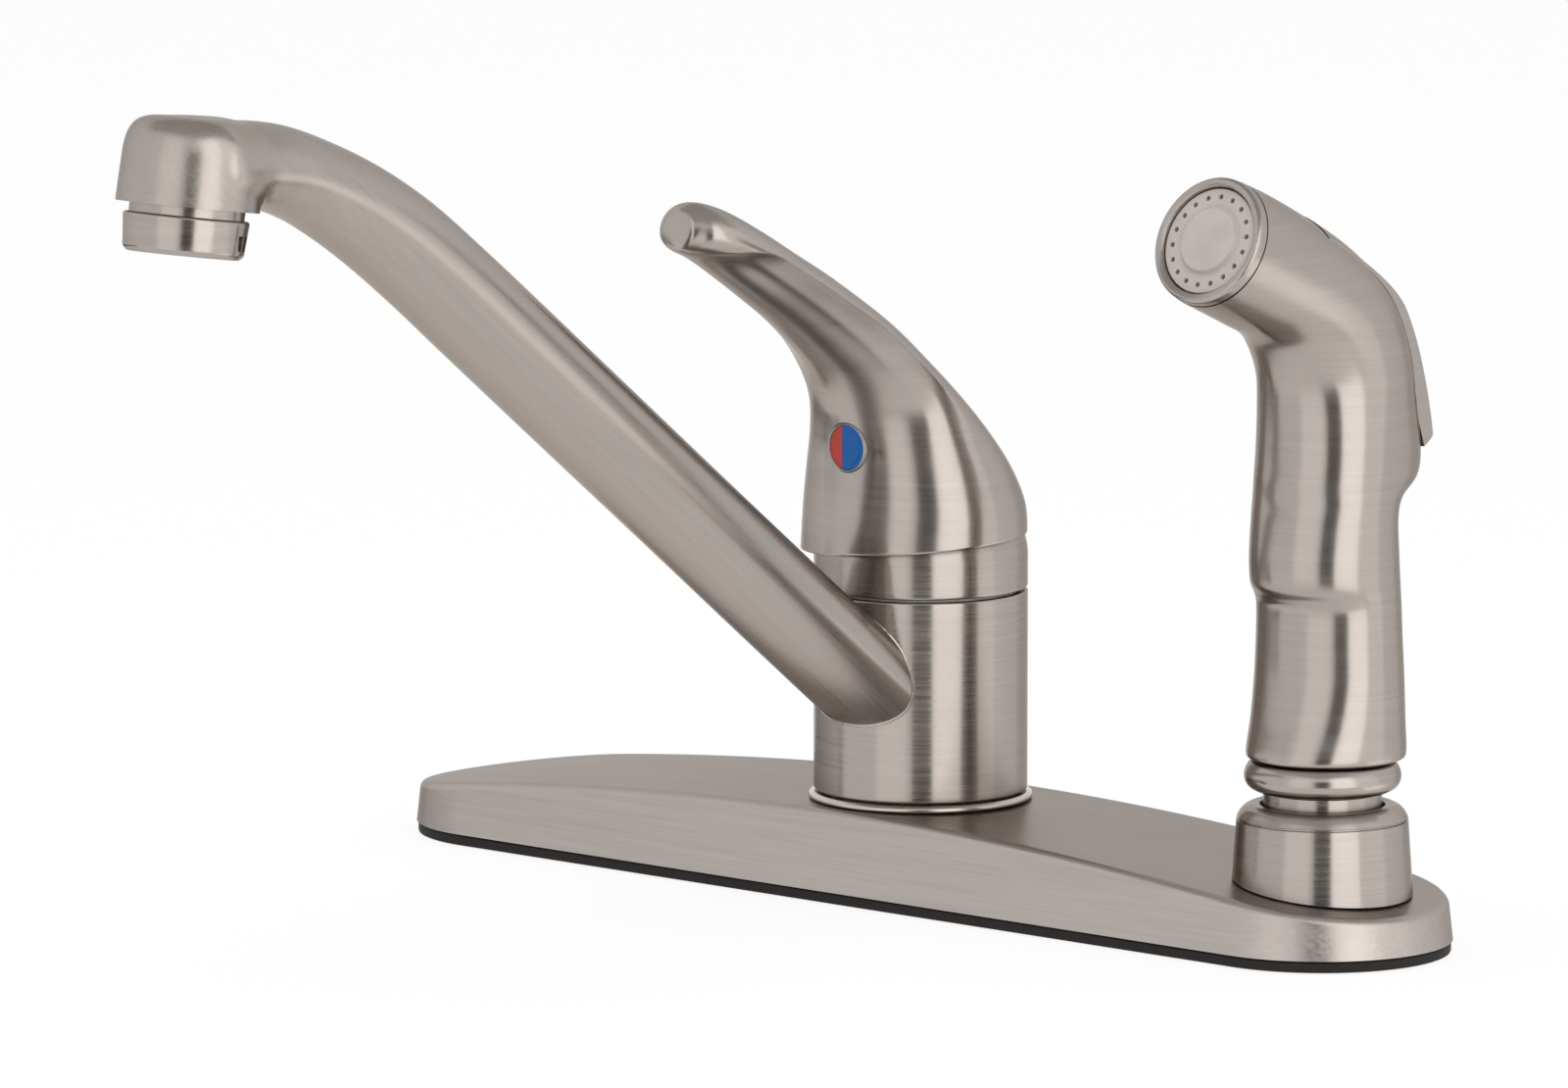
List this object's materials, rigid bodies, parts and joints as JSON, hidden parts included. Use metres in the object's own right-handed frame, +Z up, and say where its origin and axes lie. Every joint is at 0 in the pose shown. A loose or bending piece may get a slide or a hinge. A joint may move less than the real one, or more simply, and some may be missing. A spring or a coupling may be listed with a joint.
{
  "type": "side spray kitchen faucet",
  "caption": "Single-lever kitchen faucet on a long deck plate, with a raised swivel spout, an aerator and a side spray that lifts out of its holder.",
  "frame": {"origin": "on the underside of the deck gasket, on the axis of the faucet body", "axes": "+Z up along the body axis; the spout and the lever point to -Y, which is the front; the side spray stands at +X"},
  "size_m": [0.2526, 0.2398, 0.2112],
  "materials": {
    "nickel": "satin brushed nickel plating",
    "bright_metal": "polished",
    "brass": "as cast and machined",
    "steel": "plain steel",
    "rubber": "matte",
    "black_plastic": "matte",
    "white_plastic": "matte",
    "grey_plastic": "satin",
    "ceramic": "polished",
    "red_plastic": "gloss",
    "blue_plastic": "gloss"
  },
  "bodies": {
    "base": {"deck_plate": "nickel", "deck_gasket": "black_plastic", "base_ring": "bright_metal", "valve_body": "brass", "lower_hub_seal": "rubber", "upper_hub_seal": "rubber", "lower_swivel_washer": "white_plastic", "upper_swivel_washer": "white_plastic", "diverter_seat": "white_plastic", "cartridge_base": "white_plastic", "fixed_ceramic_disc": "ceramic", "cartridge_housing": "white_plastic", "cartridge_nut": "brass", "bonnet_cap": "nickel", "spray_holder": "nickel", "holder_washer": "rubber", "holder_nut": "black_plastic", "shank_washer": "steel", "shank_nut": "brass", "mounting_stud": "steel", "stud_washer": "steel", "wing_nut": "black_plastic"},
    "diverter": {"diverter_piston": "rubber"},
    "spout": {"spout_hub": "nickel", "spout_arm": "nickel", "aerator_housing": "bright_metal", "aerator_insert": "grey_plastic", "aerator_washer": "rubber"},
    "carrier": {"stem_carrier": "grey_plastic", "stem_pin": "steel"},
    "lever": {"lever_stem": "steel", "handle": "nickel", "handle_screw": "steel", "index_button": "white_plastic", "index_cold": "blue_plastic", "index_hot": "red_plastic"},
    "disc": {"moving_ceramic_disc": "ceramic"},
    "spray": {"spray_body": "nickel", "spray_bead": "bright_metal", "hose_coupling": "nickel", "spray_face_ring": "bright_metal", "spray_face": "grey_plastic", "trigger_pin": "steel", "plunger_spring": "steel"},
    "trigger": {"spray_trigger": "nickel"},
    "plunger": {"spray_plunger": "white_plastic"}
  },
  "joints": [
    {"name": "spout_swivel", "type": "hinge", "parent": "base", "child": "spout", "pos_m": [0, 0, 0.04], "axis": [0, 0, 1], "range_deg": [-120, 50]},
    {"name": "lever_turn", "type": "hinge", "parent": "base", "child": "carrier", "pos_m": [0, 0, 0.062], "axis": [0, 0, 1], "range_deg": [-50, 50]},
    {"name": "lever_lift", "type": "hinge", "parent": "carrier", "child": "lever", "pos_m": [0, 0, 0.062], "axis": [-1, 0, 0], "range_deg": [0, 22]},
    {"name": "disc_slide", "type": "slide", "parent": "carrier", "child": "disc", "axis": [0, -1, 0], "range_m": [0, 0.0022]},
    {"name": "diverter_lift", "type": "slide", "parent": "base", "child": "diverter", "axis": [0, 0, 1], "range_m": [0, 0.002]},
    {"name": "spray_lift", "type": "slide", "parent": "base", "child": "spray", "axis": [0, 0, 1], "range_m": [0, 0.3]},
    {"name": "trigger_press", "type": "hinge", "parent": "spray", "child": "trigger", "pos_m": [0.1016, -0.0082, 0.131], "axis": [-1, 0, 0], "range_deg": [0, 2.2], "stiffness_Nm_per_rad": 4, "springref_deg": -1.72},
    {"name": "plunger_slide", "type": "slide", "parent": "spray", "child": "plunger", "axis": [0, -1, 0], "range_m": [0, 0.0012]}
  ],
  "couplings": [
    {"joint": "disc_slide", "follows": "lever_lift", "m_per_rad": 0.00547},
    {"joint": "plunger_slide", "follows": "trigger_press", "m_per_rad": 0.029}
  ]
}
